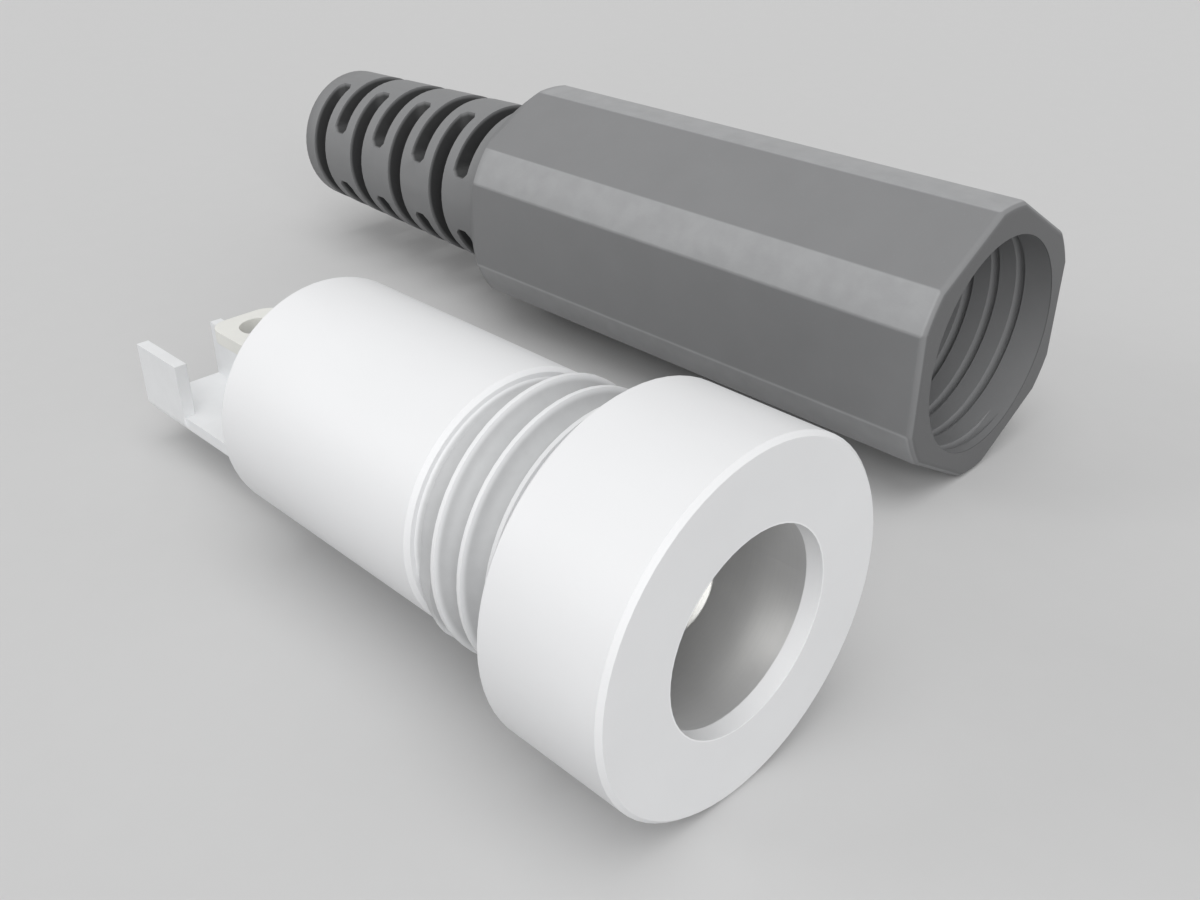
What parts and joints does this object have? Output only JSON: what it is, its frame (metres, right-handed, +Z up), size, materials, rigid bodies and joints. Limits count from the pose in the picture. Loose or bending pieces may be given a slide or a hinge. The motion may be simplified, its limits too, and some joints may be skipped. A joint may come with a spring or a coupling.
{
  "type": "dc power socket",
  "caption": "In-line barrel socket with a threaded neck, solder lug and cable clamp, and its six-sided screw-on cover with a slotted strain-relief boot lying beside it.",
  "frame": {"origin": "centre of the socket's mouth, in the plane of its front face", "axes": "+X out of the mouth along the socket's axis, +Y towards the cover lying beside it, +Z up"},
  "size_m": [0.0409, 0.028, 0.01],
  "materials": {
    "socket_plastic": "satin moulded white",
    "sleeve_plating": "drawn, nickel plated, satin",
    "pin_plating": "turned, nickel plated, bright",
    "bush_plastic": "moulded, dull dark grey",
    "washer_fibre": "pressed fibre board, dull brown",
    "clamp_plating": "stamped sheet, tin plated, satin",
    "lug_plating": "stamped sheet, tin plated, satin",
    "cover_plastic": "moulded mid grey, fine matt texture"
  },
  "bodies": {
    "root": {"socket_body": "socket_plastic", "sleeve_contact": "sleeve_plating", "centre_pin": "pin_plating", "pin_bush": "bush_plastic", "insulating_washer": "washer_fibre", "cable_clamp": "clamp_plating", "solder_lug": "lug_plating", "cover": "cover_plastic"}
  },
  "joints": []
}
